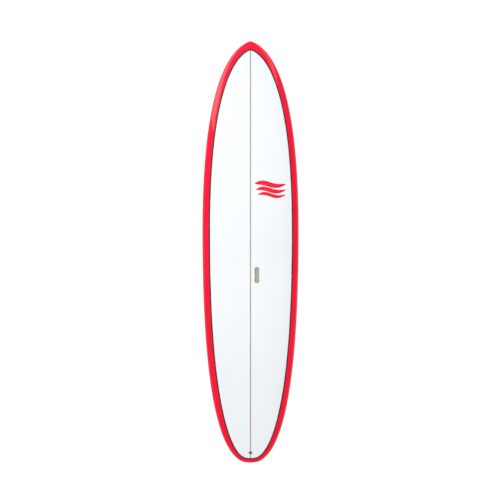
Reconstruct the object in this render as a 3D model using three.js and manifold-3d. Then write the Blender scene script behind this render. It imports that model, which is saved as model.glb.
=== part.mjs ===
// A nine-foot longboard: foam core on a wood stringer, glass skins, five fin plugs,
// a carry-handle cup and a leash plug.
// Millimetres. +Z points out of the deck, +Y to the nose, +X to the rider's right.
// The origin is under the middle of the board, level with the lowest point of the rocker.

import * as THREE from "three";
import Module from "manifold-3d";
import { mergeVertices } from "three/addons/utils/BufferGeometryUtils.js";

const wasm = await Module();
wasm.setup();

// ---------------------------------------------------------------- driving dimensions

const HALF_LENGTH = 1371.5;
const HALF_WIDTH = 326;
const WIDEST_Y = 155;
const NOSE_HANDLE = { side: 1060, tip: 110, drop: 26 };
const TAIL_HANDLE = { side: 1540, tip: 78 };

const THICKNESS = 87;
const THICKEST_Y = 100;
const ROCKER_LOW_Y = 50;
const NOSE_ROCKER = { sweep: 110, kick: 60 };
const TAIL_ROCKER = { sweep: 45, kick: 12 };
const RAIL_APEX = 0.42;
const DECK_CROWN = 2.4;
const BOTTOM_FLATNESS = { middle: 5.5, tail: 12 };
const NOSE_TIP_RADIUS = 14;
const TAIL_TIP_RADIUS = 22;

const GAP = 0.3;
const SKIN = 1.5;
const STRINGER_WIDTH = 6.4;
const LAP = { left: 48, right: 42, nose: 46, tail: 33 };
const PINLINE_WIDTH = 8;

const STATIONS = 38;
const RING_POINTS = 24;
const LAP_STEPS = 18;
const ARC_STEPS = 6;
const ROUND_SIDES = 12;
const CUP_SIDES = 28;

const HANDLE = {
  x: 43, y: -124, depth: 28, wall: 2, rimThickness: 3,
  opening: { length: 106, end: 32.5, waist: 26 },
  rim: { length: 142, end: 60, waist: 55 },
};

const LEASH = {
  y: -1297, outer: 14, inner: 10.5, depth: 17, floor: 2,
  barRadius: 2, barDepth: 6, barSeat: 2.2,
};

// slot ends are measured along the plug from its middle, positive to the nose
const PLUG = {
  length: 110, width: 28, depth: 19, slotWidth: 6.6, slotDepth: 15,
  front: { from: 4, to: 47 }, rear: { from: -47, to: -17 },
  collarWall: 2.2, collarHeight: SKIN + GAP,
};

const SCREW = {
  radius: 2.5, bore: 2.8, length: 7, cone: 2, pointRadius: 1, sink: 0.5,
  tilt: THREE.MathUtils.degToRad(35), offset: 8.8, boss: 4.4, boreLength: 12,
  socket: 1.4, socketDepth: 2.5, frontAt: 13, rearAt: -38,
};

const BARREL = { radius: 2.5, length: 10, depth: 8, proud: 1.4, room: 3.4, pad: 1.6 };

// x and y of each plug's middle, toe-in in degrees, and +1 where the board's middle is on its right
const PLUGS = [
  { name: "front_left", x: -193, y: -1011, toe: -2.7, inner: 1 },
  { name: "front_right", x: 193, y: -1011, toe: 2.7, inner: -1 },
  { name: "rear_left", x: -125, y: -1167, toe: -3, inner: 1 },
  { name: "rear_right", x: 125, y: -1167, toe: 3, inner: -1 },
  { name: "centre", x: 0, y: -1236, toe: 0, inner: -1 },
];

// ---------------------------------------------------------------- materials

function material(color, roughness, metalness = 0, opacity = 1) {
  return new THREE.MeshStandardMaterial({
    color, roughness, metalness, opacity, transparent: opacity < 1,
  });
}

const RED_GLOSS = material(0xf01434, 0.12);
const WHITE_GLOSS = material(0xf2f7f8, 0.15);
const BLACK_GLOSS = material(0x101012, 0.15);
const FOAM = material(0xf4f5f0, 0.9);
const WOOD = material(0xb9906a, 0.6);
const PLUG_PLASTIC = material(0xd9dcd6, 0.4);
const IVORY_PLASTIC = material(0xf3f1e2, 0.35);
const GREY_PLASTIC = material(0xc9ccd0, 0.4);
const STEEL = material(0xb8bcc0, 0.25, 1);
const DARK_STEEL = material(0x2b2c2e, 0.4, 1);
const RUBBER = material(0x222222, 0.8);

// ---------------------------------------------------------------- solids

function toSolid(geometry) {
  const bare = geometry.clone();
  bare.deleteAttribute("normal");
  bare.deleteAttribute("uv");
  const merged = mergeVertices(bare, 1e-3);
  const mesh = new wasm.Mesh({
    numProp: 3,
    vertProperties: new Float32Array(merged.attributes.position.array),
    triVerts: new Uint32Array(merged.index.array),
  });
  return new wasm.Manifold(mesh);
}

function toGeometry(solid) {
  const mesh = solid.getMesh();
  const geometry = new THREE.BufferGeometry();
  geometry.setAttribute("position", new THREE.BufferAttribute(mesh.vertProperties, 3));
  geometry.setIndex(new THREE.BufferAttribute(mesh.triVerts, 1));
  geometry.computeVertexNormals();
  return geometry;
}

function moved(geometry, matrix) {
  return toSolid(geometry.clone().applyMatrix4(matrix));
}

function boxBetween(low, high) {
  const size = new THREE.Vector3().subVectors(high, low);
  const box = new THREE.BoxGeometry(size.x, size.y, size.z);
  const middle = new THREE.Vector3().addVectors(low, high).multiplyScalar(0.5);
  return toSolid(box.translate(middle.x, middle.y, middle.z));
}

// an outline in X and Y made into an upright prism
function prism(points, low, high) {
  const shape = new THREE.Shape(points);
  const solid = new THREE.ExtrudeGeometry(shape, { depth: high - low, bevelEnabled: false });
  return toSolid(solid.translate(0, 0, low));
}

// an outline in Y and Z made into a prism across the board
function crossPrism(points, halfSpan) {
  const shape = new THREE.Shape(points);
  const solid = new THREE.ExtrudeGeometry(shape, { depth: 2 * halfSpan, bevelEnabled: false });
  solid.translate(0, 0, -halfSpan);
  const turn = new THREE.Matrix4().makeBasis(
    new THREE.Vector3(0, 1, 0), new THREE.Vector3(0, 0, 1), new THREE.Vector3(1, 0, 0));
  return moved(solid, turn);
}

// ---------------------------------------------------------------- the hull's shape

// the nose comes to a slight point, and the tail is round
const noseCurve = new THREE.CubicBezierCurve(
  new THREE.Vector2(HALF_WIDTH, WIDEST_Y),
  new THREE.Vector2(HALF_WIDTH, WIDEST_Y + NOSE_HANDLE.side),
  new THREE.Vector2(NOSE_HANDLE.tip, HALF_LENGTH - NOSE_HANDLE.drop),
  new THREE.Vector2(0, HALF_LENGTH));

const tailCurve = new THREE.CubicBezierCurve(
  new THREE.Vector2(HALF_WIDTH, WIDEST_Y),
  new THREE.Vector2(HALF_WIDTH, WIDEST_Y - TAIL_HANDLE.side),
  new THREE.Vector2(TAIL_HANDLE.tip, -HALF_LENGTH),
  new THREE.Vector2(0, -HALF_LENGTH));

function halfWidth(y) {
  const curve = y > WIDEST_Y ? noseCurve : tailCurve;
  const target = Math.abs(y - WIDEST_Y);
  let low = 0;
  let high = 1;
  for (let step = 0; step < 40; step += 1) {
    const middle = (low + high) / 2;
    const reached = Math.abs(curve.getPoint(middle).y - WIDEST_Y);
    if (reached < target) low = middle;
    else high = middle;
  }
  return curve.getPoint((low + high) / 2).x;
}

// height of the bottom's centre line above the lowest point
function bottomHeight(y) {
  if (y > ROCKER_LOW_Y) {
    const u = (y - ROCKER_LOW_Y) / (HALF_LENGTH - ROCKER_LOW_Y);
    return NOSE_ROCKER.sweep * u ** 2 + NOSE_ROCKER.kick * u ** 8;
  }
  const u = (ROCKER_LOW_Y - y) / (HALF_LENGTH + ROCKER_LOW_Y);
  return TAIL_ROCKER.sweep * u ** 2 + TAIL_ROCKER.kick * u ** 8;
}

// thickness along the centre line, before the tips are rounded
function foil(y) {
  if (y > THICKEST_Y) {
    const u = (y - THICKEST_Y) / (HALF_LENGTH - THICKEST_Y);
    return THICKNESS * (1 - 0.25 * u ** 2 - 0.52 * u ** 6);
  }
  const u = (THICKEST_Y - y) / (HALF_LENGTH + THICKEST_Y);
  return THICKNESS * (1 - 0.45 * u ** 2 - 0.09 * u ** 12);
}

// the bottom stays flat closer to the rail towards the tail
function bottomPower(y) {
  const tailShare = Math.min(1, Math.max(0, -y / HALF_LENGTH));
  return THREE.MathUtils.lerp(BOTTOM_FLATNESS.middle, BOTTOM_FLATNESS.tail, tailShare);
}

function apexHeight(y) {
  return bottomHeight(y) + RAIL_APEX * foil(y);
}

// 1 along the board, falling to 0 on a round nose and tail edge
function tipRounding(y) {
  const radius = y > 0 ? NOSE_TIP_RADIUS : TAIL_TIP_RADIUS;
  const left = Math.min(1, (HALF_LENGTH - Math.abs(y)) / radius);
  return Math.sqrt(Math.max(0, 1 - (1 - left) ** 2));
}

function deckHeight(x, y) {
  const across = Math.min(1, Math.abs(x) / halfWidth(y));
  const rise = (1 - RAIL_APEX) * foil(y) * tipRounding(y);
  return apexHeight(y) + rise * Math.sqrt(1 - across ** DECK_CROWN);
}

function bottomSurface(x, y) {
  const across = Math.min(1, Math.abs(x) / halfWidth(y));
  const drop = RAIL_APEX * foil(y) * tipRounding(y);
  return apexHeight(y) - drop * Math.sqrt(1 - across ** bottomPower(y));
}

// the hull drawn in by an inset, as rings of points from tip to tip
function hull(inset) {
  const scaleX = (HALF_WIDTH - inset) / HALF_WIDTH;
  const scaleY = (HALF_LENGTH - inset) / HALF_LENGTH;
  const points = [0, -HALF_LENGTH * scaleY, apexHeight(-HALF_LENGTH)];
  for (let i = 1; i < STATIONS; i += 1) {
    const y = HALF_LENGTH * Math.sin((i / STATIONS - 0.5) * Math.PI);
    const scaleZ = 1 - (2 * inset) / foil(y);
    for (let j = 0; j < RING_POINTS; j += 1) {
      const angle = (2 * Math.PI * j) / RING_POINTS;
      const sine = Math.sin(angle);
      const power = Math.cos(angle) > 0 ? DECK_CROWN : bottomPower(y);
      const across = Math.sign(sine) * Math.abs(sine) ** (2 / power);
      const share = Math.cos(angle) > 0 ? 1 - RAIL_APEX : RAIL_APEX;
      const rise = Math.cos(angle) * share * foil(y) * tipRounding(y);
      points.push(across * halfWidth(y) * scaleX, y * scaleY, apexHeight(y) + rise * scaleZ);
    }
  }
  points.push(0, HALF_LENGTH * scaleY, apexHeight(HALF_LENGTH));

  const faces = [];
  const lastRing = 1 + (STATIONS - 2) * RING_POINTS;
  const nose = lastRing + RING_POINTS;
  for (let j = 0; j < RING_POINTS; j += 1) {
    const next = (j + 1) % RING_POINTS;
    faces.push(0, 1 + next, 1 + j);
    faces.push(nose, lastRing + j, lastRing + next);
    for (let ring = 1; ring < lastRing; ring += RING_POINTS) {
      const above = ring + RING_POINTS;
      faces.push(ring + j, above + next, above + j);
      faces.push(ring + j, ring + next, above + next);
    }
  }
  const geometry = new THREE.BufferGeometry();
  geometry.setAttribute("position", new THREE.Float32BufferAttribute(points, 3));
  geometry.setIndex(faces);
  return toSolid(geometry);
}

// ---------------------------------------------------------------- outlines seen from above

// the edge of the rail lap, drawn in from the board's outline by the lap's width plus an inset
function lapOutline(inset) {
  const side = (sign, width) => {
    const points = [];
    for (const [curve, isTail] of [[noseCurve, false], [tailCurve, true]]) {
      for (let i = 0; i <= LAP_STEPS; i += 1) {
        const t = isTail ? i / LAP_STEPS : 1 - i / LAP_STEPS;
        if (isTail && i === 0) continue;
        const edge = curve.getPoint(t);
        const along = curve.getTangent(t);
        const outward = isTail
          ? new THREE.Vector2(-along.y, along.x)
          : new THREE.Vector2(along.y, -along.x);
        const tipShare = Math.abs(edge.y / HALF_LENGTH) ** 8;
        const lap = THREE.MathUtils.lerp(width, isTail ? LAP.tail : LAP.nose, tipShare) + inset;
        const point = edge.clone().addScaledVector(outward, -lap);
        if (point.x > 1) points.push(new THREE.Vector2(sign * point.x, point.y));
      }
    }
    return points;
  };
  const right = side(1, LAP.right);
  const left = side(-1, LAP.left);
  const [first, second] = right;
  const slope = (first.y - second.y) / (second.x - first.x);
  const tip = new THREE.Vector2(0, first.y + slope * first.x);
  return [tip, ...right, ...left.reverse()];
}

// a slot with round ends, lying along Y between two ends
function slotOutline(from, to, width) {
  const radius = width / 2;
  const points = [];
  for (let i = 0; i <= ARC_STEPS; i += 1) {
    const angle = (Math.PI * i) / ARC_STEPS;
    points.push(new THREE.Vector2(radius * Math.cos(angle), to - radius + radius * Math.sin(angle)));
  }
  for (let i = 0; i <= ARC_STEPS; i += 1) {
    const angle = Math.PI + (Math.PI * i) / ARC_STEPS;
    points.push(new THREE.Vector2(radius * Math.cos(angle), from + radius + radius * Math.sin(angle)));
  }
  return points;
}

// a bone: two round ends joined by a narrower waist
function boneOutline({ length, end, waist }, inset = 0) {
  const radius = end / 2 - inset;
  const centre = length / 2 - end / 2;
  const half = [];
  for (let i = 0; i <= 2 * ARC_STEPS; i += 1) {
    const angle = (Math.PI * i) / (2 * ARC_STEPS);
    half.push(new THREE.Vector2(radius * Math.cos(angle), centre + radius * Math.sin(angle)));
  }
  const side = new THREE.Vector2(-(waist / 2 - inset), 0);
  const upper = [...half, side];
  return [...upper, ...upper.map((point) => new THREE.Vector2(-point.x, -point.y))];
}

// ---------------------------------------------------------------- the tree of parts

const surfboard = new THREE.Group();

function addMesh(parent, name, geometry, look) {
  const mesh = new THREE.Mesh(geometry, look);
  mesh.name = name;
  parent.add(mesh);
  return mesh;
}

function addSolid(name, solid, look) {
  return addMesh(surfboard, name, toGeometry(solid), look);
}

// the frame of a fitting let into the hull: its own +Z runs out of the surface it sits in
function seatFrame(x, y, surface, outward, turn) {
  const reach = 12;
  const slopeX = (surface(x + reach, y) - surface(x - reach, y)) / (2 * reach);
  const slopeY = (surface(x, y + reach) - surface(x, y - reach)) / (2 * reach);
  const up = new THREE.Vector3(-slopeX, -slopeY, 1).normalize().multiplyScalar(outward);
  const along = new THREE.Vector3(-Math.sin(turn), Math.cos(turn), 0);
  const right = new THREE.Vector3().crossVectors(along, up).normalize();
  along.crossVectors(up, right);
  const frame = new THREE.Matrix4().makeBasis(right, along, up);
  return frame.setPosition(x, y, surface(x, y));
}

// ---------------------------------------------------------------- fin plugs

// inside a plug's frame +X is across, +Y to the nose and -Z into the board
const grooveFloor = -PLUG.slotDepth;
const barrelY = PLUG.front.to + BARREL.radius - BARREL.proud;

function screwMatrix(side, y) {
  const lean = new THREE.Matrix4().makeRotationY(side * SCREW.tilt);
  return lean.setPosition(side * SCREW.offset, y, 0);
}

// the two screws of a plug: the front one on the board's inner side, the rear one on the outer
function screwPlaces(inner) {
  return [
    { end: "front", matrix: screwMatrix(inner, SCREW.frontAt) },
    { end: "rear", matrix: screwMatrix(-inner, SCREW.rearAt) },
  ];
}

function upright(radius, low, high, segments = ROUND_SIDES, topRadius = radius) {
  const cylinder = new THREE.CylinderGeometry(topRadius, radius, high - low, segments);
  return cylinder.rotateX(Math.PI / 2).translate(0, 0, (low + high) / 2);
}

// the plastic that shows: a collar round each slot and a boss round each screw
function collars(inner, grow, low, high) {
  const wide = PLUG.slotWidth + 2 * (PLUG.collarWall + grow);
  const reach = PLUG.collarWall + grow;
  let solid = prism(slotOutline(PLUG.front.from - reach, PLUG.front.to + reach, wide), low, high);
  solid = solid.add(prism(slotOutline(PLUG.rear.from - reach, PLUG.rear.to + reach, wide), low, high));
  for (const { matrix } of screwPlaces(inner)) {
    const place = new THREE.Vector3().setFromMatrixPosition(matrix);
    const boss = upright(SCREW.boss + grow, low, high).translate(place.x, place.y, 0);
    solid = solid.add(toSolid(boss));
  }
  return solid;
}

function plugSolid(inner) {
  const half = PLUG.length / 2;
  let solid = prism(slotOutline(-half, half, PLUG.width), -PLUG.depth, -PLUG.collarHeight);
  solid = solid.add(collars(inner, 0, -PLUG.collarHeight - 1, 0));
  for (const slot of [PLUG.front, PLUG.rear]) {
    const outline = slotOutline(slot.from, slot.to, PLUG.slotWidth);
    solid = solid.subtract(prism(outline, grooveFloor, 1));
  }
  for (const { matrix } of screwPlaces(inner)) {
    solid = solid.subtract(moved(upright(SCREW.bore, -SCREW.boreLength, 4), matrix));
  }
  const halfRoom = BARREL.length / 2 + GAP;
  const roomTop = -BARREL.depth + BARREL.radius + GAP;
  const roomFloor = -BARREL.depth - BARREL.radius - GAP;
  const roomEnd = barrelY + BARREL.radius + BARREL.room;
  return solid.subtract(boxBetween(
    new THREE.Vector3(-halfRoom, PLUG.front.to - 4, roomFloor),
    new THREE.Vector3(halfRoom, roomEnd, roomTop)));
}

// the room a plug's body takes, up to a height
function plugRoom(high) {
  const half = PLUG.length / 2 + GAP;
  return prism(slotOutline(-half, half, PLUG.width + 2 * GAP), -PLUG.depth - GAP, high);
}

function skinPocket(inner) {
  return plugRoom(-SKIN).add(collars(inner, GAP, -SKIN - 1, 10));
}

// a cone-point screw, its socket at the surface and its point down
function screwSolid() {
  const top = -SCREW.sink;
  const shoulder = top - SCREW.length + SCREW.cone;
  const shank = toSolid(upright(SCREW.radius, shoulder, top));
  const point = toSolid(upright(SCREW.pointRadius, shoulder - SCREW.cone, shoulder, ROUND_SIDES, SCREW.radius));
  const socket = toSolid(upright(SCREW.socket, top - SCREW.socketDepth, top + 1, 6));
  return shank.add(point).subtract(socket);
}

function addPlug({ name, x, y, toe, inner }, geometries) {
  const frame = seatFrame(x, y, bottomSurface, -1, THREE.MathUtils.degToRad(toe));
  // +X of this frame points to the board's left, because the plug is seen from below
  const innerHere = -inner;
  const group = new THREE.Group();
  group.applyMatrix4(frame);
  surfboard.add(group);
  addMesh(group, `fin_plug_${name}`, geometries.plug[innerHere], PLUG_PLASTIC);

  for (const { end, matrix } of screwPlaces(innerHere)) {
    const screw = addMesh(group, `fin_screw_${name}_${end}`, geometries.screw, DARK_STEEL);
    screw.applyMatrix4(matrix);
  }

  const barrel = addMesh(group, `fin_barrel_${name}`, geometries.barrel, STEEL);
  barrel.rotation.z = Math.PI / 2;
  barrel.position.set(0, barrelY, -BARREL.depth);

  const pad = addMesh(group, `barrel_pad_${name}`, geometries.pad, RUBBER);
  const padEnd = barrelY + BARREL.radius + BARREL.room - GAP;
  pad.position.set(0, padEnd - BARREL.pad / 2, -BARREL.depth);
  return {
    skinPocket: moved(geometries.skinPocket[innerHere], frame),
    corePocket: moved(geometries.corePocket, frame),
  };
}

const plugGeometries = {
  plug: { 1: toGeometry(plugSolid(1)), [-1]: toGeometry(plugSolid(-1)) },
  skinPocket: { 1: toGeometry(skinPocket(1)), [-1]: toGeometry(skinPocket(-1)) },
  corePocket: toGeometry(plugRoom(10)),
  screw: toGeometry(screwSolid()),
  barrel: new THREE.CylinderGeometry(BARREL.radius, BARREL.radius, BARREL.length, ROUND_SIDES),
  pad: new THREE.BoxGeometry(BARREL.length, BARREL.pad, 2 * BARREL.radius),
};

const plugs = PLUGS.map((plug) => addPlug(plug, plugGeometries));

// ---------------------------------------------------------------- carry handle

function handleCup() {
  const { opening, rim, depth, wall, rimThickness } = HANDLE;
  const cup = prism(boneOutline(opening, -wall), -depth - wall, -rimThickness / 2);
  const plate = prism(boneOutline(rim), -rimThickness, 0);
  return plate.add(cup).subtract(prism(boneOutline(opening), -depth, 1));
}

function handlePocket() {
  const { opening, rim, depth, wall, rimThickness } = HANDLE;
  const cup = prism(boneOutline(opening, -wall - GAP), -depth - wall - GAP, 0);
  return cup.add(prism(boneOutline(rim, -GAP), -rimThickness - GAP, 20));
}

const handleFrame = seatFrame(HANDLE.x, HANDLE.y, deckHeight, 1, 0);
const handleGroup = new THREE.Group();
handleGroup.applyMatrix4(handleFrame);
surfboard.add(handleGroup);
addMesh(handleGroup, "handle_cup", toGeometry(handleCup()), IVORY_PLASTIC);
const handleHole = moved(toGeometry(handlePocket()), handleFrame);

// ---------------------------------------------------------------- leash plug

function leashCup() {
  const { outer, inner, depth, floor, barDepth, barSeat } = LEASH;
  const body = toSolid(upright(outer, -depth - floor, 0, CUP_SIDES));
  const well = toSolid(upright(inner, -depth, 1, CUP_SIDES));
  const seatLength = outer + inner;
  const seat = upright(barSeat, -seatLength / 2, seatLength / 2).rotateY(Math.PI / 2);
  return body.subtract(well).subtract(toSolid(seat.translate(0, 0, -barDepth)));
}

const leashFrame = seatFrame(0, LEASH.y, deckHeight, 1, 0);
const leashGroup = new THREE.Group();
leashGroup.applyMatrix4(leashFrame);
surfboard.add(leashGroup);
addMesh(leashGroup, "leash_plug", toGeometry(leashCup()), GREY_PLASTIC);

const barLength = LEASH.outer + LEASH.inner - 2 * GAP;
const barShape = new THREE.CylinderGeometry(LEASH.barRadius, LEASH.barRadius, barLength, ROUND_SIDES);
const leashBar = addMesh(leashGroup, "leash_bar", barShape.rotateZ(Math.PI / 2), STEEL);
leashBar.position.z = -LEASH.barDepth;

const leashShape = upright(LEASH.outer + GAP, -LEASH.depth - LEASH.floor - GAP, 20, CUP_SIDES);
const leashHole = moved(leashShape, leashFrame);

// ---------------------------------------------------------------- skins and core

const skinHoles = [...plugs.map((plug) => plug.skinPocket), handleHole, leashHole];
const coreHoles = [...plugs.map((plug) => plug.corePocket), handleHole, leashHole];

function drilled(solid, holes) {
  return holes.reduce((rest, hole) => rest.subtract(hole), solid);
}

// everything above the rail's apex, from the nose to the tail
function aboveApex() {
  const beyond = 40;
  const top = 400;
  const points = [];
  for (let i = 0; i <= STATIONS; i += 1) {
    const y = -HALF_LENGTH + (2 * HALF_LENGTH * i) / STATIONS;
    points.push(new THREE.Vector2(y, apexHeight(y)));
  }
  points.unshift(new THREE.Vector2(-HALF_LENGTH - beyond, apexHeight(-HALF_LENGTH)));
  points.push(new THREE.Vector2(HALF_LENGTH + beyond, apexHeight(HALF_LENGTH)));
  points.push(new THREE.Vector2(HALF_LENGTH + beyond, top));
  points.push(new THREE.Vector2(-HALF_LENGTH - beyond, top));
  return crossPrism(points, HALF_WIDTH + beyond);
}

const tall = 500;
const deckSide = aboveApex();
const lapWindow = prism(lapOutline(0), -tall, tall).intersect(deckSide);
const pinlineOuter = prism(lapOutline(GAP), -tall, tall).intersect(deckSide);
const pinlineInner = prism(lapOutline(PINLINE_WIDTH - GAP), -tall, tall);
const deckWindow = prism(lapOutline(PINLINE_WIDTH), -tall, tall).intersect(deckSide);

const skin = hull(0).subtract(hull(SKIN));
addSolid("bottom_laminate", drilled(skin.subtract(lapWindow), skinHoles), RED_GLOSS);
addSolid("pinline", skin.intersect(pinlineOuter).subtract(pinlineInner), BLACK_GLOSS);
addSolid("deck_laminate", drilled(skin.intersect(deckWindow), skinHoles), WHITE_GLOSS);

const blank = drilled(hull(SKIN + GAP), coreHoles);
const stringerHalf = STRINGER_WIDTH / 2;
const sideBox = (near, far) => boxBetween(
  new THREE.Vector3(near, -HALF_LENGTH - 1, -tall), new THREE.Vector3(far, HALF_LENGTH + 1, tall));

addSolid("stringer", blank.intersect(sideBox(-stringerHalf, stringerHalf)), WOOD);
const foamEdge = stringerHalf + GAP;
addSolid("foam_left", blank.intersect(sideBox(-HALF_WIDTH, -foamEdge)), FOAM);
addSolid("foam_right", blank.intersect(sideBox(foamEdge, HALF_WIDTH)), FOAM);

export default surfboard;
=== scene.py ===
import math

import bmesh
import bpy
import numpy as np
from mathutils import Matrix, Vector


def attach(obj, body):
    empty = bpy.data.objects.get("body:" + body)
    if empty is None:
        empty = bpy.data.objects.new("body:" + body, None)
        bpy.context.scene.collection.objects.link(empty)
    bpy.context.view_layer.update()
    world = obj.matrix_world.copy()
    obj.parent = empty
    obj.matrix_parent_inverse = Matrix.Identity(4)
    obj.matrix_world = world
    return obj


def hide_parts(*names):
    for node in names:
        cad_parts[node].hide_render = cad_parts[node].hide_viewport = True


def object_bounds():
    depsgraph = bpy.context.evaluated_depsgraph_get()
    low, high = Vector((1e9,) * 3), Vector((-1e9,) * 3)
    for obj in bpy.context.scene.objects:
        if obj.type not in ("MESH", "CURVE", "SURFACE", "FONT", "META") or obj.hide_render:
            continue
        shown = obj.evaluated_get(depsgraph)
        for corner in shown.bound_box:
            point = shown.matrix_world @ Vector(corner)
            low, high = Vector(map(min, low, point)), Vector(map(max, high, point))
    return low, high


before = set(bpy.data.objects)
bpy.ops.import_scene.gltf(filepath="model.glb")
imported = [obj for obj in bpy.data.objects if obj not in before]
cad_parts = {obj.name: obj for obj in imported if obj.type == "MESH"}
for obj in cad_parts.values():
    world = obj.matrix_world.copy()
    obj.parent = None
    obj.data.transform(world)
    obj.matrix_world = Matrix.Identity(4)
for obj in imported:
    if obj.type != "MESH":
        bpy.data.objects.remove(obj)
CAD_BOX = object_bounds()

# ---------------------------------------------------------------- sizes of the board, in metres

HALF_LENGTH = CAD_BOX[1][1]
HALF_WIDTH = 0.326
WIDEST_Y = 0.155
# each quarter's Bezier handles: along the side, across the tip, and the tip handle's drop
NOSE_HANDLES = (1.060, 0.110, 0.026)
TAIL_HANDLES = (1.540, 0.078, 0.0)
THICKNESS = 0.087
THICKEST_Y = 0.100
ROCKER_LOW_Y = 0.050
# each rocker is a long sweep and a late kick
NOSE_ROCKER = (0.110, 0.060)
TAIL_ROCKER = (0.045, 0.012)
SWEEP_POWER, KICK_POWER = 2, 8
# (share of the thickness lost, power) from the thickest station to the tip
NOSE_FOIL = ((0.25, 2), (0.52, 6))
TAIL_FOIL = ((0.45, 2), (0.09, 12))
RAIL_APEX = 0.42
DECK_CROWN = 2.4
BOTTOM_POWERS = (5.5, 12.0)  # the middle's and the tail's
TIP_RADII = (0.014, 0.022)  # the nose's and the tail's
SKIN = 0.0015
STRINGER_HALF = 0.0032
LAP_LEFT, LAP_RIGHT, LAP_NOSE, LAP_TAIL = 0.048, 0.042, 0.046, 0.033
PINLINE = 0.008
PINLINE_OVERLAP, PINLINE_LIFT = 0.0004, 0.0003
HANDLE_PLACE = (0.043, -0.124)
LEASH_PLACE = (0.0, -1.297)
HOLE_GAP = 0.00015
CLOTH_PITCH = 0.0016

BODY = "board"


def mix(a, b, share):
    return a + (b - a) * share


# ---------------------------------------------------------------- the hull's shape

def bezier(points, t):
    a, b, c, d = (np.array(p, float) for p in points)
    t = np.asarray(t, float)[:, None]
    return (1 - t) ** 3 * a + 3 * (1 - t) ** 2 * t * b + 3 * (1 - t) * t ** 2 * c + t ** 3 * d


def half_outline(end, handles):
    """The control points of one quarter of the outline, from the widest point to a tip."""
    side, tip, drop = handles
    return [(HALF_WIDTH, WIDEST_Y), (HALF_WIDTH, WIDEST_Y + end * side),
            (tip, end * (HALF_LENGTH - drop)), (0, end * HALF_LENGTH)]


QUARTERS = {1: half_outline(1, NOSE_HANDLES), -1: half_outline(-1, TAIL_HANDLES)}
FINE = np.linspace(0, 1, 4001)
NOSE_EDGE = bezier(QUARTERS[1], FINE)
TAIL_EDGE = bezier(QUARTERS[-1], FINE)
EDGE = np.vstack([TAIL_EDGE[::-1], NOSE_EDGE[1:]])


def half_width(y):
    return np.where(np.abs(y) > HALF_LENGTH - 1e-7, 0, np.interp(y, EDGE[:, 1], EDGE[:, 0]))


def bottom_height(y):
    nose = np.clip((y - ROCKER_LOW_Y) / (HALF_LENGTH - ROCKER_LOW_Y), 0, 1)
    tail = np.clip((ROCKER_LOW_Y - y) / (HALF_LENGTH + ROCKER_LOW_Y), 0, 1)
    rise = NOSE_ROCKER[0] * nose ** SWEEP_POWER + NOSE_ROCKER[1] * nose ** KICK_POWER
    return rise + TAIL_ROCKER[0] * tail ** SWEEP_POWER + TAIL_ROCKER[1] * tail ** KICK_POWER


def foil(y):
    """The board's thickness at y."""
    nose = np.clip((y - THICKEST_Y) / (HALF_LENGTH - THICKEST_Y), 0, 1)
    tail = np.clip((THICKEST_Y - y) / (HALF_LENGTH + THICKEST_Y), 0, 1)
    share = 1
    for away, terms in ((nose, NOSE_FOIL), (tail, TAIL_FOIL)):
        for loss, power in terms:
            share = share - loss * away ** power
    return THICKNESS * share


def bottom_power(y):
    return mix(*BOTTOM_POWERS, np.clip(-y / HALF_LENGTH, 0, 1))


def apex_height(y):
    return bottom_height(y) + RAIL_APEX * foil(y)


def tip_rounding(y):
    radius = np.where(y > 0, *TIP_RADII)
    left = np.clip((HALF_LENGTH - np.abs(y)) / radius, 0, 1)
    return np.sqrt(np.clip(1 - (1 - left) ** 2, 0, 1))


def deck_height(x, y):
    across = np.clip(np.abs(x) / np.maximum(half_width(y), 1e-9), 0, 1)
    rise = (1 - RAIL_APEX) * foil(y) * tip_rounding(y)
    return apex_height(y) + rise * np.sqrt(1 - across ** DECK_CROWN)


def bottom_surface(x, y):
    across = np.clip(np.abs(x) / np.maximum(half_width(y), 1e-9), 0, 1)
    drop = RAIL_APEX * foil(y) * tip_rounding(y)
    return apex_height(y) - drop * np.sqrt(1 - across ** bottom_power(y))


def hull_points(y, angle, inset=0.0):
    """Points on the hull at stations y and angles round the section, 0 on the deck's centre line."""
    sine, cosine = np.sin(angle), np.cos(angle)
    power = np.where(cosine > 0, DECK_CROWN, bottom_power(y))
    across = np.sign(sine) * np.abs(sine) ** (2 / power)
    share = np.where(cosine > 0, 1 - RAIL_APEX, RAIL_APEX)
    rise = cosine * share * foil(y) * tip_rounding(y) * (1 - 2 * inset / foil(y))
    x = across * half_width(y) * (1 - inset / HALF_WIDTH)
    return np.stack([x, y * (1 - inset / HALF_LENGTH), apex_height(y) + rise], -1)


# ---------------------------------------------------------------- the lap's edge

def lap_edge(side, inset, steps=900):
    """The lap's edge on one side of the deck, from tail to nose, drawn in from the outline."""
    width = LAP_RIGHT if side > 0 else LAP_LEFT
    along = np.gradient(EDGE, axis=0)
    along /= np.linalg.norm(along, axis=1)[:, None]
    inward = np.stack([-along[:, 1], along[:, 0]], 1)
    tip_width = np.where(EDGE[:, 1] > 0, LAP_NOSE, LAP_TAIL)
    share = np.abs(EDGE[:, 1] / HALF_LENGTH) ** 8
    edge = EDGE + inward * (mix(width, tip_width, share) + inset)[:, None]
    inside = np.flatnonzero(edge[:, 0] > 0)
    first, last = inside[0], inside[-1]
    kept = edge[first:last + 1]
    ends = []
    for outer, inner in ((first - 1, first), (last + 1, last)):
        a, b = edge[outer], edge[inner]
        ends.append(a + (b - a) * (-a[0] / (b[0] - a[0])))
    kept = np.vstack([ends[0], kept, ends[1]])
    run = np.concatenate([[0], np.cumsum(np.linalg.norm(np.diff(kept, axis=0), axis=1))])
    reached = np.linspace(0, run[-1], steps)
    return np.stack([np.interp(reached, run, kept[:, 0]) * side, np.interp(reached, run, kept[:, 1])], 1)


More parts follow.
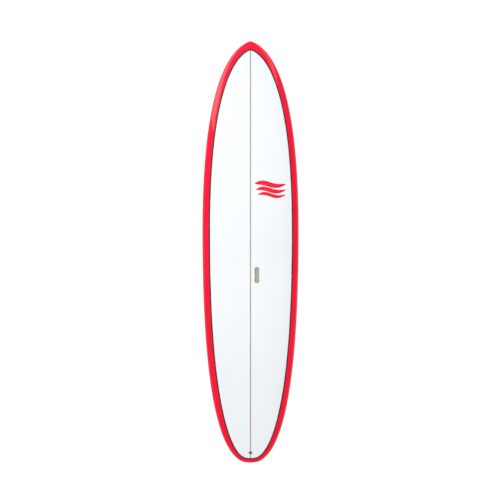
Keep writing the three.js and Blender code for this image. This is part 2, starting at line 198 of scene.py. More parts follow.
LAP_RIGHT_EDGE = lap_edge(1, 0)
LAP_LEFT_EDGE = lap_edge(-1, 0)
LAP_ENDS = (
    max(LAP_RIGHT_EDGE[0, 1], LAP_LEFT_EDGE[0, 1]),
    min(LAP_RIGHT_EDGE[-1, 1], LAP_LEFT_EDGE[-1, 1]),
)


def lap_angle(edge, y):
    """The angle round the section at which the lap ends."""
    x = np.interp(y, edge[:, 1], np.abs(edge[:, 0]), left=0, right=0)
    across = np.clip(x / np.maximum(half_width(y), 1e-9), 0, 1)
    inside = (y > LAP_ENDS[0]) & (y < LAP_ENDS[1])
    return np.where(inside, np.arcsin(across ** (DECK_CROWN / 2)), 0)


# ---------------------------------------------------------------- meshes

WELD_DISTANCE = 1e-7


def new_object(name, vertices, faces, smooth_angle=35):
    mesh = bpy.data.meshes.new(name)
    mesh.from_pydata([tuple(map(float, v)) for v in vertices], [], faces)
    obj = bpy.data.objects.new(name, mesh)
    bpy.context.scene.collection.objects.link(obj)
    tidy(obj, smooth_angle)
    return obj


def tidy(obj, smooth_angle=35):
    """Welds the seams, points every face outwards and smooths all but the sharp edges."""
    work = bmesh.new()
    work.from_mesh(obj.data)
    bmesh.ops.remove_doubles(work, verts=work.verts, dist=WELD_DISTANCE)
    bmesh.ops.recalc_face_normals(work, faces=work.faces)
    work.to_mesh(obj.data)
    work.free()
    obj.data.shade_smooth()
    obj.data.set_sharp_from_angle(angle=math.radians(smooth_angle))
    obj.data.update()


def grid_faces(rows, columns, start=0, flip=False):
    faces = []
    for i in range(rows - 1):
        for j in range(columns - 1):
            a = start + i * columns + j
            quad = (a, a + 1, a + columns + 1, a + columns)
            faces.append(quad[::-1] if flip else quad)
    return faces


def loft(name, rings, smooth_angle=35):
    """A closed solid through rings that all have the same number of points."""
    rings = [np.asarray(ring, float) for ring in rings]
    count = len(rings[0])
    faces = []
    for i in range(len(rings) - 1):
        for j in range(count):
            k = (j + 1) % count
            faces.append((i * count + j, i * count + k, (i + 1) * count + k, (i + 1) * count + j))
    vertices = [point for ring in rings for point in ring]
    faces.append(tuple(range(count))[::-1])
    start = (len(rings) - 1) * count
    faces.append(tuple(range(start, start + count)))
    return new_object(name, vertices, faces, smooth_angle)


def boolean(obj, other, operation):
    """Cuts or joins obj with other, which is used up."""
    modifier = obj.modifiers.new("cut", "BOOLEAN")
    modifier.operation = operation
    modifier.solver = "MANIFOLD"
    modifier.object = other
    bpy.context.view_layer.update()
    evaluated = obj.evaluated_get(bpy.context.evaluated_depsgraph_get())
    mesh = bpy.data.meshes.new_from_object(evaluated)
    old = obj.data
    obj.modifiers.clear()
    obj.data = mesh
    bpy.data.meshes.remove(old)
    bpy.data.objects.remove(other)
    tidy(obj)
    return obj


def join(objects, name):
    work = bmesh.new()
    for obj in objects:
        work.from_mesh(obj.data)
    mesh = bpy.data.meshes.new(name)
    work.to_mesh(mesh)
    work.free()
    for obj in objects:
        bpy.data.objects.remove(obj)
    joined = bpy.data.objects.new(name, mesh)
    bpy.context.scene.collection.objects.link(joined)
    return joined


def union_of(pieces):
    first, *rest = pieces
    for piece in rest:
        boolean(first, piece, "UNION")
    return first


def place(obj, matrix):
    obj.data.transform(matrix)
    obj.data.update()
    return obj


def copy_of(obj, name):
    twin = obj.copy()
    twin.data = obj.data.copy()
    twin.name = name
    bpy.context.scene.collection.objects.link(twin)
    return twin


# ---------------------------------------------------------------- node materials

class Material:
    """A Principled material and a few short ways to feed its sockets."""

    def __init__(self, name, **sockets):
        self.material = bpy.data.materials.new(name)
        self.material.use_nodes = True
        self.nodes = self.material.node_tree.nodes
        self.links = self.material.node_tree.links
        self.shader = self.nodes["Principled BSDF"]
        for socket, value in sockets.items():
            self.shader.inputs[socket.replace("_", " ")].default_value = value
        self.coordinates = self.nodes.new("ShaderNodeTexCoord").outputs["Object"]

    def link(self, source, target):
        self.links.new(source, target)

    def feed(self, socket, source):
        self.link(source, self.shader.inputs[socket])

    def scaled(self, scale):
        mapping = self.nodes.new("ShaderNodeMapping")
        mapping.inputs["Scale"].default_value = scale
        self.link(self.coordinates, mapping.inputs["Vector"])
        return mapping.outputs["Vector"]

    def noise(self, scale, detail=4.0, roughness=0.5, stretch=(1, 1, 1), distortion=0.0):
        node = self.nodes.new("ShaderNodeTexNoise")
        node.inputs["Scale"].default_value = scale
        node.inputs["Detail"].default_value = detail
        node.inputs["Roughness"].default_value = roughness
        node.inputs["Distortion"].default_value = distortion
        self.link(self.scaled(stretch), node.inputs["Vector"])
        return node.outputs["Fac"]

    def cells(self, scale):
        node = self.nodes.new("ShaderNodeTexVoronoi")
        node.inputs["Scale"].default_value = scale
        self.link(self.coordinates, node.inputs["Vector"])
        return node.outputs["Distance"]

    def bands(self, scale, direction, distortion):
        node = self.nodes.new("ShaderNodeTexWave")
        node.bands_direction = direction
        node.inputs["Scale"].default_value = scale
        node.inputs["Distortion"].default_value = distortion
        node.inputs["Detail Scale"].default_value = 1.0
        self.link(self.coordinates, node.inputs["Vector"])
        return node.outputs["Fac"]

    def math(self, operation, a, b=None):
        node = self.nodes.new("ShaderNodeMath")
        node.operation = operation
        for socket, value in zip(node.inputs, (a, b)):
            if value is None:
                continue
            if isinstance(value, (int, float)):
                socket.default_value = value
            else:
                self.link(value, socket)
        return node.outputs["Value"]

    def axis(self, name):
        node = self.nodes.new("ShaderNodeSeparateXYZ")
        self.link(self.coordinates, node.inputs["Vector"])
        return node.outputs[name]

    def ramp(self, factor, stops):
        node = self.nodes.new("ShaderNodeValToRGB")
        elements = node.color_ramp.elements
        while len(elements) < len(stops):
            elements.new(0.5)
        for element, (position, colour) in zip(elements, stops):
            element.position = position
            element.color = (*colour, 1)
        self.link(factor, node.inputs["Fac"])
        return node.outputs["Color"]

    def blend(self, factor, a, b):
        node = self.nodes.new("ShaderNodeMix")
        node.data_type = "RGBA"
        for socket, value in ((node.inputs[0], factor), (node.inputs[6], a), (node.inputs[7], b)):
            if isinstance(value, tuple):
                socket.default_value = (*value, 1)
            else:
                self.link(value, socket)
        return node.outputs[2]

    def span(self, factor, low, high):
        """Maps a 0 to 1 factor to a range."""
        node = self.nodes.new("ShaderNodeMapRange")
        node.inputs["To Min"].default_value = low
        node.inputs["To Max"].default_value = high
        self.link(factor, node.inputs["Value"])
        return node.outputs["Result"]

    def bump(self, height, strength, distance, socket="Normal"):
        node = self.nodes.new("ShaderNodeBump")
        node.inputs["Strength"].default_value = strength
        node.inputs["Distance"].default_value = distance
        self.link(height, node.inputs["Height"])
        self.feed(socket, node.outputs["Normal"])


def cloth(m):
    """Plain-weave glass cloth: two sets of threads, over and under."""
    scale = 1 / CLOTH_PITCH / 10
    warp = m.bands(scale, "X", 0.15)
    weft = m.bands(scale, "Y", 0.15)
    return m.math("MULTIPLY", warp, weft)


def gloss_coat(m, weight=1.0):
    m.shader.inputs["Specular IOR Level"].default_value = 0.15
    m.shader.inputs["Coat Weight"].default_value = weight
    m.shader.inputs["Coat IOR"].default_value = 1.5
    m.shader.inputs["Coat Roughness"].default_value = 0.035


def red_resin():
    m = Material("red_resin", Roughness=0.3, IOR=1.5)
    gloss_coat(m)
    depth = m.noise(2.2, 3, 0.5, (1, 0.35, 1))
    flow = m.noise(9, 5, 0.6, (1, 0.25, 1), 0.6)
    tint = m.ramp(m.math("ADD", m.math("MULTIPLY", depth, 0.6), m.math("MULTIPLY", flow, 0.4)),
                  [(0.3, (0.87, 0.002, 0.026)), (0.7, (0.98, 0.005, 0.040))])
    weave = cloth(m)
    colour = m.blend(m.math("MULTIPLY", weave, 0.16), tint, (0.66, 0.001, 0.016))
    m.feed("Base Color", colour)
    m.feed("Roughness", m.span(m.noise(30, 6, 0.6), 0.18, 0.34))
    m.bump(weave, 0.12, 0.0002)
    polish = m.noise(5, 2, 0.4)
    m.bump(polish, 0.03, 0.002, socket="Coat Normal")
    return m.material


def glassed_foam():
    """Clear glass cloth and resin over white foam."""
    m = Material("glassed_foam", Roughness=0.35, IOR=1.5)
    gloss_coat(m)
    broad = m.noise(1.6, 3, 0.5)
    foam = m.ramp(broad, [(0.3, (0.865, 0.905, 0.925)), (0.7, (0.91, 0.94, 0.95))])
    grain = m.noise(420, 4, 0.7)
    foam = m.blend(m.math("MULTIPLY", grain, 0.10), foam, (0.70, 0.74, 0.76))
    weave = cloth(m)
    foam = m.blend(m.math("MULTIPLY", weave, 0.05), foam, (0.76, 0.80, 0.80))
    m.feed("Base Color", foam)
    m.feed("Roughness", m.span(m.noise(40, 5, 0.6), 0.25, 0.42))
    m.bump(weave, 0.10, 0.0002)
    m.bump(m.noise(5, 2, 0.4), 0.03, 0.002, socket="Coat Normal")
    return m.material


def glassed_stringer():
    """The wood stringer under the same glass, with a thin line of glue along each side."""
    m = Material("glassed_stringer", Roughness=0.4, IOR=1.5)
    gloss_coat(m)
    growth = m.noise(60, 6, 0.6, (6, 0.12, 1), 0.4)
    fibre = m.noise(300, 4, 0.7, (3, 0.04, 1))
    wood = m.ramp(growth, [(0.25, (0.26, 0.165, 0.105)), (0.55, (0.42, 0.285, 0.195)),
                           (0.8, (0.52, 0.37, 0.265))])
    wood = m.blend(m.math("MULTIPLY", fibre, 0.35), wood, (0.24, 0.14, 0.08))
    from_centre = m.math("ABSOLUTE", m.axis("X"))
    glue = m.math("GREATER_THAN", from_centre, STRINGER_HALF - 0.0004)
    m.feed("Base Color", m.blend(m.math("MULTIPLY", glue, 0.6), wood, (0.34, 0.25, 0.18)))
    m.feed("Roughness", m.span(fibre, 0.3, 0.5))
    m.bump(growth, 0.1, 0.0002)
    return m.material


def black_resin():
    m = Material("black_resin", Roughness=0.3, IOR=1.5)
    gloss_coat(m, 0.5)
    shade = m.noise(90, 4, 0.6)
    m.feed("Base Color", m.ramp(shade, [(0.3, (0.006, 0.006, 0.008)), (0.75, (0.022, 0.021, 0.024))]))
    m.bump(m.noise(160, 3, 0.5), 0.15, 0.0002)
    return m.material


def printed_mark(name, low, high):
    """Ink on rice paper under the gloss coat."""
    m = Material(name, Roughness=0.4, IOR=1.5)
    gloss_coat(m)
    m.feed("Base Color", m.ramp(m.noise(180, 5, 0.7), [(0.25, low), (0.75, high)]))
    m.feed("Roughness", m.span(m.noise(70, 4, 0.6), 0.3, 0.5))
    m.bump(m.noise(500, 3, 0.6), 0.08, 0.0001)
    return m.material


def moulded_plastic(name, low, high, painted_shade_well=None):
    """Plastic with a fine grain. The well argument is (floor, mouth, colour): painted shade that darkens
    the plastic, in patches, from a recess's mouth down to its floor.
    """
    m = Material(name, Roughness=0.45, IOR=1.46)
    colour = m.ramp(m.noise(35, 5, 0.6), [(0.3, low), (0.7, high)])
    if painted_shade_well:
        floor, mouth, shade_colour = painted_shade_well
        # painted shade: the colour darkens with depth below the mouth, down to the given colour at the
        # floor
        depth = m.nodes.new("ShaderNodeMapRange")
        depth.inputs["From Min"].default_value = mouth
        depth.inputs["From Max"].default_value = floor
        m.link(m.axis("Z"), depth.inputs["Value"])
        patches = m.span(m.noise(55, 4, 0.6), 0.75, 1.0)
        colour = m.blend(m.math("MULTIPLY", depth.outputs["Result"], patches), colour, shade_colour)
    m.feed("Base Color", colour)
    m.feed("Roughness", m.span(m.noise(220, 4, 0.6), 0.35, 0.55))
    m.bump(m.noise(1400, 2, 0.5), 0.2, 0.0001)
    return m.material


def turned_steel(name, low, high, rough=(0.2, 0.38)):
    m = Material(name, Metallic=1.0, Roughness=0.3)
    lines = m.noise(900, 3, 0.6, (1, 0.2, 0.2))
    m.feed("Base Color", m.ramp(m.noise(120, 4, 0.6), [(0.3, low), (0.7, high)]))
    m.feed("Roughness", m.span(lines, *rough))
    m.bump(lines, 0.15, 0.00005)
    return m.material


def blown_foam():
    m = Material("blown_foam", Roughness=0.9)
    pores = m.cells(900)
    m.feed("Base Color", m.ramp(pores, [(0.0, (0.62, 0.62, 0.56)), (0.35, (0.86, 0.86, 0.80))]))
    m.bump(pores, 0.5, 0.0004)
    return m.material


def basswood():
    m = Material("basswood", Roughness=0.6)
    growth = m.noise(60, 6, 0.6, (1, 0.1, 2))
    m.feed("Base Color", m.ramp(growth, [(0.3, (0.30, 0.19, 0.12)), (0.7, (0.56, 0.41, 0.29))]))
    m.bump(growth, 0.3, 0.0003)
    return m.material


def black_rubber():
    m = Material("black_rubber", Roughness=0.8)
    shade = m.noise(300, 4, 0.6)
    m.feed("Base Color", m.ramp(shade, [(0.3, (0.012, 0.012, 0.012)), (0.7, (0.035, 0.034, 0.033))]))
    m.bump(m.noise(900, 2, 0.5), 0.3, 0.0002)
    return m.material


RED = red_resin()
DECK = glassed_foam()
DECK_WOOD = glassed_stringer()
BLACK = black_resin()
HANDLE_TOP = deck_height(*HANDLE_PLACE)
LEASH_TOP = deck_height(*LEASH_PLACE)
# painted shade inside the handle's cup and the leash cup: each well darkens the plastic below its mouth
IVORY = moulded_plastic("ivory_plastic", (0.86, 0.86, 0.77), (0.91, 0.91, 0.83),
                        painted_shade_well=(HANDLE_TOP - 0.018, HANDLE_TOP - 0.0035, (0.46, 0.46, 0.44)))
GREY = moulded_plastic("grey_plastic", (0.74, 0.76, 0.77), (0.82, 0.84, 0.85),
                       painted_shade_well=(LEASH_TOP - 0.011, LEASH_TOP - 0.002, (0.10, 0.10, 0.105)))
PALE = moulded_plastic("plug_plastic", (0.60, 0.61, 0.56), (0.74, 0.75, 0.70))
STEEL = turned_steel("bar_steel", (0.50, 0.50, 0.50), (0.68, 0.68, 0.67))
SCREW_STEEL = turned_steel("screw_steel", (0.05, 0.05, 0.055), (0.12, 0.12, 0.12), (0.3, 0.5))
RED_INK = printed_mark("red_ink", (0.88, 0.005, 0.028), (0.97, 0.010, 0.042))
WHITE_INK = printed_mark("white_ink", (0.80, 0.80, 0.80), (0.92, 0.92, 0.92))
DARK_INK = printed_mark("dark_ink", (0.28, 0.003, 0.008), (0.42, 0.005, 0.014))
FOAM = blown_foam()
WOOD = basswood()
RUBBER = black_rubber()


def finish_piece(obj, material, slot, body=BODY, *replaced):
    obj.data.materials.clear()
    obj.data.materials.append(material)
    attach(obj, body)
    if replaced:
        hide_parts(*replaced)


# ---------------------------------------------------------------- skins

STATIONS = 330
RED_COLUMNS = 109
DECK_COLUMNS = 28
END_CROWDING = 0.75


def stations():
    """Places along the board, crowded towards the tips, with the lap's two ends among them."""
    share = np.linspace(-1, 1, STATIONS)
    even = HALF_LENGTH * share
    round_ends = HALF_LENGTH * np.sin(share * math.pi / 2)
    rows = mix(even, round_ends, END_CROWDING)
    return np.unique(np.concatenate([rows, LAP_ENDS]))


def skin_solid(name, rows, angles):
    """A skin from the hull's surface inwards. angles has a row of angles for each station."""
    columns = angles.shape[1]
    y = np.repeat(rows[:, None], columns, 1)
    outer = hull_points(y, angles).reshape(-1, 3)
    inner = hull_points(y, angles, SKIN).reshape(-1, 3)
    count = len(outer)
    faces = grid_faces(len(rows), columns) + grid_faces(len(rows), columns, count, flip=True)
    inside = (rows >= LAP_ENDS[0]) & (rows <= LAP_ENDS[1])
    for i in range(len(rows) - 1):
        if not (inside[i] and inside[i + 1]):
            continue
        for j, flip in ((0, False), (columns - 1, True)):
            a, b = i * columns + j, (i + 1) * columns + j
            wall = (a, b, b + count, a + count)
            faces.append(wall[::-1] if flip else wall)
    return new_object(name, np.vstack([outer, inner]), faces)


def red_shell():
    rows = stations()
    right = lap_angle(LAP_RIGHT_EDGE, rows)
    left = lap_angle(LAP_LEFT_EDGE, rows)
    share = np.linspace(0, 1, RED_COLUMNS)
    angles = mix(right[:, None], 2 * math.pi - left[:, None], share[None, :])
    return skin_solid("red_shell", rows, angles)


def deck_skin():
    """The clear skin, in three bands: foam, the stringer on the centre line, foam."""
    rows = stations()
    rows = rows[(rows >= LAP_ENDS[0]) & (rows <= LAP_ENDS[1])]
    right = lap_angle(LAP_RIGHT_EDGE, rows)
    left = lap_angle(LAP_LEFT_EDGE, rows)
    wood = np.arcsin((STRINGER_HALF / half_width(rows)) ** (DECK_CROWN / 2))
    side = np.linspace(0, 1, DECK_COLUMNS)
    middle = np.linspace(-1, 1, 5)[1:-1]
    wood_right = np.minimum(wood, right)
    wood_left = np.minimum(wood, left)
    angles = np.hstack([
        mix(-left[:, None], -wood_left[:, None], side[None, :]),
        wood[:, None] * middle[None, :] * (right > wood)[:, None],
        mix(wood_right[:, None], right[:, None], side[None, :]),
    ])
    return skin_solid("deck_skin", rows, angles)


def surface_strip(name, inner, outer, height, lift, profile=(0, 0.75, 1, 0.75, 0)):
    """A low rounded ribbon of resin or ink lying between two lines on a surface."""
    share = np.linspace(0, 1, len(profile))
    lines = [mix(inner, outer, s) for s in share]
    points = []
    for line, rise in zip(lines, profile):
        z = height(line[:, 0], line[:, 1]) + lift * rise
        points.append(np.column_stack([line, z]))
    rows = np.stack(points, 1)
    count, columns = rows.shape[:2]
    under = rows[:, ::columns - 1].copy()
    under[:, :, 2] -= lift
    vertices = np.vstack([rows.reshape(-1, 3), under.reshape(-1, 3)])
    faces = grid_faces(count, columns)
    start = count * columns
    faces += grid_faces(count, 2, start, flip=True)
    for i in range(count - 1):
        a, b = i * columns, start + 2 * i
        faces.append((a, a + columns, b + 2, b))
        faces.append((b + 1, b + 3, a + 2 * columns - 1, a + columns - 1))
    last = (count - 1) * columns
    low = start + 2 * (count - 1)
    faces.append((start, start + 1, *range(columns - 1, -1, -1)))
    faces.append((*range(last, last + columns), low + 1, low))
    return new_object(name, vertices, faces, 60)


WANDER = 0.0009
WANDER_WAVES = (9, 23, 61, 140)


def pinline():
    """The black line, pulled by hand, so its edges wander by a few tenths of a millimetre."""
    generator = np.random.default_rng(7)
    halves = []
    for side in (1, -1):
        steps = 900
        run = np.linspace(0, 1, steps)
        wander = np.zeros((2, steps))
        for wave in WANDER_WAVES:
            phase = generator.uniform(0, 2 * math.pi, 2)
            size = WANDER / wave ** 0.5
            wander += size * np.sin(2 * math.pi * wave * run + phase[:, None]) * np.sin(math.pi * run)
        outer = lap_edge(side, -PINLINE_OVERLAP, steps)
        inner = lap_edge(side, PINLINE - PINLINE_OVERLAP, steps)
        across = inner - outer
        across /= np.linalg.norm(across, axis=1)[:, None]
        outer = outer + across * wander[0][:, None]
        inner = inner + across * wander[1][:, None]
        outer[[0, -1], 0] = 0
        inner[[0, -1], 0] = 0
        halves.append(surface_strip(f"pinline_{side}", inner, outer, deck_height, PINLINE_LIFT))
    return join(halves, "pinline_resin")


# ---------------------------------------------------------------- fittings let into the hull

def seat_matrix(x, y, surface, outward, turn=0.0):
    """The frame of a fitting: +Z runs out of the surface that it sits in."""
    reach = 0.012
    slope_x = float(surface(x + reach, y) - surface(x - reach, y)) / (2 * reach)
    slope_y = float(surface(x, y + reach) - surface(x, y - reach)) / (2 * reach)
    up = Vector((-slope_x, -slope_y, 1)).normalized() * outward
    along = Vector((-math.sin(turn), math.cos(turn), 0))
    right = along.cross(up).normalized()
    along = up.cross(right)
    matrix = Matrix((right, along, up)).transposed().to_4x4()
    matrix.translation = (x, y, float(surface(x, y)))
    return matrix


def ring_at(outline, z):
    return np.column_stack([outline, np.full(len(outline), z)])


def circle(radius, count=32, centre=(0, 0)):
    turn = np.linspace(0, 2 * math.pi, count, endpoint=False)
    return np.column_stack([centre[0] + radius * np.cos(turn), centre[1] + radius * np.sin(turn)])


def slot_outline(low, high, radius, arc=14):
    """A slot with round ends, lying along Y from low to high."""
    turn = np.linspace(0, math.pi, arc)
    top = np.column_stack([radius * np.cos(turn), high - radius + radius * np.sin(turn)])
    foot = np.column_stack([-radius * np.cos(turn), low + radius - radius * np.sin(turn)])
    return np.vstack([top, foot])


def bone_outline(size, inset=0.0, arc=22, side=15):
    """Two round ends joined by a narrower waist."""
    length, end, waist = size
    centre = (length - end) / 2
    turn = np.linspace(0, math.pi, arc)
    radius = end / 2 - inset
    cap = np.column_stack([radius * np.cos(turn), centre + radius * np.sin(turn)])
    place_along = np.linspace(1, -1, side + 2)[1:-1]
    away = np.abs(place_along)
    half = mix(waist / 2, end / 2, away ** 2 * (3 - 2 * away)) - inset
    flank = np.column_stack([-half, centre * place_along])
    upper = np.vstack([cap, flank])
    return np.vstack([upper, -upper])


def fillet(radius, steps=5):
    """(inset, drop) pairs round a quarter circle, from a vertical wall to a flat top."""
    turn = np.linspace(0, math.pi / 2, steps)
    return [(radius * (1 - math.cos(a)), radius * (1 - math.sin(a))) for a in turn]


# ---------------------------------------------------------------- fin plugs

# x, y, the toe-in in degrees, and the side that faces the middle of the board
PLUG_PLACES = {
    "front_left": (-0.193, -1.011, -2.7, 1),
    "front_right": (0.193, -1.011, 2.7, -1),
    "rear_left": (-0.125, -1.167, -3.0, 1),
    "rear_right": (0.125, -1.167, 3.0, -1),
    "centre": (0.0, -1.236, 0.0, -1),
}
PLUG_SLOTS = ((0.004, 0.047), (-0.047, -0.017))
SLOT_RADIUS = 0.0033
COLLAR_WALL = 0.0022
PLUG_HALF_LENGTH, PLUG_HALF_WIDTH = 0.055, 0.014
PLUG_TOP, PLUG_DEPTH = 0.0018, 0.019
PLUG_CHAMFER = 0.0008
SLOT_DEPTH = 0.015
SCREW_TILT = math.radians(35)
SCREW_OFFSET = 0.0088
SCREW_PLACES = (("front", 0.013, 1), ("rear", -0.038, -1))
BOSS_RADIUS = 0.0044
BORE_RADIUS = 0.0028
BORE_LENGTH = 0.012
# (growth, height) of each cutter's rounded mouth
SLOT_MOUTH = ((0, -0.0008), (0.0002, -0.0003), (0.0006, 0), (0.0012, 0.0006))
BORE_MOUTH = ((0, -0.0006), (0.0005, 0.0004), (0.0016, 0.004))
SCREW_RADIUS = 0.0025
SOCKET_RADIUS = 0.0014
BARREL_PLACE = (0.0, 0.0481, -0.008)
BARREL_RADIUS, BARREL_LENGTH = 0.0025, 0.010
BARREL_ROOM = {"half": 0.0053, "back": 0.043, "front": 0.054, "floor": -0.0108, "top": -0.0052}


def screw_matrix(side, y):
    return Matrix.Translation((side * SCREW_OFFSET, y, 0)) @ Matrix.Rotation(side * SCREW_TILT, 4, "Y")


def screw_frames(inner):
    return {end: screw_matrix(side * inner, y) for end, y, side in SCREW_PLACES}


def collar_pieces(name, inner, grow, low, high, rounding):
    """The rings of plastic that show: one round each slot and a boss beside it for the screw."""
    outlines = []
    for start, stop in PLUG_SLOTS:
        def collar(inset, start=start, stop=stop):
            reach = COLLAR_WALL + grow - inset
            return slot_outline(start - reach, stop + reach, SLOT_RADIUS + reach)
        outlines.append(collar)
    for matrix in screw_frames(inner).values():
        centre = matrix.translation
        outlines.append(lambda inset, c=(centre.x, centre.y): circle(BOSS_RADIUS + grow - inset, 36, c))
    pieces = []
    for outline in outlines:
        rings = [ring_at(outline(0), low)]
        if rounding:
            rings += [ring_at(outline(inset), high - drop) for inset, drop in fillet(rounding)]
        else:
            rings.append(ring_at(outline(0), high))
        pieces.append(loft(name, rings))
    return pieces


def plug_body(inner):
    """The plastic body: a block under the skin, two slots, two screw bores and the barrel's room."""
    def outline(inset, z):
        half = PLUG_HALF_LENGTH - inset
        return ring_at(slot_outline(-half, half, PLUG_HALF_WIDTH - inset, 20), z)

    block = loft("plug", [
        outline(0, -PLUG_DEPTH),
        outline(0, -PLUG_TOP - PLUG_CHAMFER),
        outline(PLUG_CHAMFER, -PLUG_TOP),
    ])
    body = union_of([block, *collar_pieces("collar", inner, grow=0, low=-0.0028, high=0, rounding=0.0005)])
    for start, stop in PLUG_SLOTS:
        def slot(grow, z, start=start, stop=stop):
            return ring_at(slot_outline(start - grow, stop + grow, SLOT_RADIUS + grow), z)
        cutter = loft("slot", [slot(0, -SLOT_DEPTH), *(slot(grow, z) for grow, z in SLOT_MOUTH)])
        boolean(body, cutter, "DIFFERENCE")
    for matrix in screw_frames(inner).values():
        foot = ring_at(circle(BORE_RADIUS), -BORE_LENGTH)
        cutter = loft("bore", [foot, *(ring_at(circle(BORE_RADIUS + grow), z) for grow, z in BORE_MOUTH)])
        boolean(body, place(cutter, matrix), "DIFFERENCE")
    half, back, front = (BARREL_ROOM[key] for key in ("half", "back", "front"))
    room = [(-half, back), (half, back), (half, front), (-half, front)]
    cutter = loft("room", [ring_at(room, BARREL_ROOM["floor"]), ring_at(room, BARREL_ROOM["top"])])
    return boolean(body, cutter, "DIFFERENCE")


def threaded_screw():
    """A cone-point socket screw, its point down."""
    columns, pitch, depth = 24, 0.0008, 0.00022
    turn = np.linspace(0, 2 * math.pi, columns, endpoint=False)
    top, shoulder, point = -0.0005, -0.0055, -0.0075
    rings = [ring_at(circle(0.0008, columns), point), ring_at(circle(0.0010, columns), point + 0.0001)]
    for z in np.arange(shoulder - 0.0001, top - 0.0005, pitch / 7):
        phase = (z / pitch - turn / (2 * math.pi)) % 1
        ridge = 1 - np.abs(2 * phase - 1)
        radius = SCREW_RADIUS - depth * ridge
        rings.append(np.column_stack([radius * np.cos(turn), radius * np.sin(turn), np.full(columns, z)]))
    for radius, z in ((SCREW_RADIUS, top - 0.0004), (SCREW_RADIUS, top - 0.0003), (0.0022, top)):
        rings.append(ring_at(circle(radius, columns), z))
    screw = loft("screw", rings, smooth_angle=40)
    socket = ((0, -0.0025), (0, -0.0003), (0.0002, 0), (0.0004, 0.0004))
    hexagon = [ring_at(circle(SOCKET_RADIUS + grow, 6), top + z) for grow, z in socket]
    return boolean(screw, loft("socket", hexagon), "DIFFERENCE")


def turned_pin(name, radius, length, chamfer, groove_at=None):
    """A pin lying along X, with a groove at each side of its middle if groove_at says how far out."""
    half = length / 2
    corner = chamfer * 0.3
    profile = [(-half, radius - chamfer), (-half + corner, radius - corner), (-half + chamfer, radius)]
    if groove_at:
        for centre in (-groove_at, groove_at):
            profile += [(centre - 0.0005, radius), (centre - 0.0003, radius - 0.0002),
                        (centre + 0.0003, radius - 0.0002), (centre + 0.0005, radius)]
    profile += [(half - chamfer, radius), (half - corner, radius - corner), (half, radius - chamfer)]
    rings = []
    for x, r in profile:
        around = circle(r, 32)
        rings.append(np.column_stack([np.full(len(around), x), around]))
    return loft(name, rings)


PLUG_FRAMES = {
    name: seat_matrix(x, y, bottom_surface, -1, math.radians(toe))
    for name, (x, y, toe, _) in PLUG_PLACES.items()
}

plug_models = {inner: plug_body(inner) for inner in (1, -1)}
screw_model = threaded_screw()
barrel_model = turned_pin("barrel", BARREL_RADIUS, BARREL_LENGTH, chamfer=0.0006, groove_at=0.0028)
place(barrel_model, Matrix.Translation(BARREL_PLACE))

plug_cutters = []
for name, frame_here in PLUG_FRAMES.items():
    facing = -PLUG_PLACES[name][-1]  # the frame looks down, so its X runs the other way
    body = place(copy_of(plug_models[facing], f"fin_plug_{name}_fine"), frame_here)
    finish_piece(body, PALE, "plug_plastic", BODY, f"fin_plug_{name}")
    for end, matrix in screw_frames(facing).items():
        screw = place(copy_of(screw_model, f"fin_screw_{name}_{end}_fine"), frame_here @ matrix)
        finish_piece(screw, SCREW_STEEL, "screw_steel", f"screw_{name}_{end}", f"fin_screw_{name}_{end}")
    barrel = place(copy_of(barrel_model, f"fin_barrel_{name}_fine"), frame_here)
    finish_piece(barrel, STEEL, "bar_steel", f"barrel_{name}", f"fin_barrel_{name}")
    cutter = union_of(collar_pieces("hole", facing, grow=HOLE_GAP, low=-0.004, high=0.010, rounding=0))
    plug_cutters.append(place(cutter, frame_here))
for model in (*plug_models.values(), screw_model, barrel_model):
    bpy.data.objects.remove(model)

# ---------------------------------------------------------------- carry handle

HANDLE_FRAME = seat_matrix(*HANDLE_PLACE, deck_height, 1)
# length, width of the ends and width of the waist
HANDLE_RIM = (0.142, 0.060, 0.055)
HANDLE_OPENING = (0.106, 0.0325, 0.026)
HANDLE_DEPTH = 0.028
HANDLE_WALL, HANDLE_PLATE = 0.002, 0.003
# (inset, height) of the fine groove round the rim
HANDLE_GROOVE = ((0.0026, 0), (0.0029, -0.0003), (0.0035, -0.0003), (0.0038, 0))
HANDLE_DRAFT = 0.0008
HANDLE_FLOOR_RADIUS, HANDLE_FLOOR_INSET = 0.004, 0.0090
HOLE_CUT = (-0.02, 0.02)


def handle_cup():
    def rim(inset, z):
        return ring_at(bone_outline(HANDLE_RIM, inset), z)

    def opening(inset, z):
        return ring_at(bone_outline(HANDLE_OPENING, inset), z)

    rings = [
        opening(-HANDLE_WALL, -HANDLE_DEPTH - HANDLE_WALL),
        opening(-HANDLE_WALL, -HANDLE_PLATE),
        rim(0, -HANDLE_PLATE),
    ]
    rings += [rim(inset, -drop) for inset, drop in fillet(0.0007)]
    rings += [rim(inset, z) for inset, z in HANDLE_GROOVE]
    rings += [opening(-drop, -inset) for inset, drop in fillet(0.0022, 7)]
    for inset, drop in fillet(HANDLE_FLOOR_RADIUS, 7):
        rings.append(opening(HANDLE_DRAFT + inset, -HANDLE_DEPTH + drop))
    rings.append(opening(HANDLE_FLOOR_INSET, -HANDLE_DEPTH))
    return place(loft("handle_cup_fine", rings), HANDLE_FRAME)


finish_piece(handle_cup(), IVORY, "ivory_plastic", BODY, "handle_cup")
handle_rings = [ring_at(bone_outline(HANDLE_RIM, -HOLE_GAP), z) for z in HOLE_CUT]
handle_cutter = place(loft("handle_hole", handle_rings), HANDLE_FRAME)

# ---------------------------------------------------------------- leash plug

LEASH_FRAME = seat_matrix(*LEASH_PLACE, deck_height, 1)
LEASH_OUTER, LEASH_INNER, LEASH_DEPTH = 0.014, 0.0105, 0.017
LEASH_FLOOR = 0.002
BAR_RADIUS, BAR_SEAT, BAR_LENGTH = 0.002, 0.0022, 0.0239
BAR_PLACE = Matrix.Translation((0, 0, -0.006))


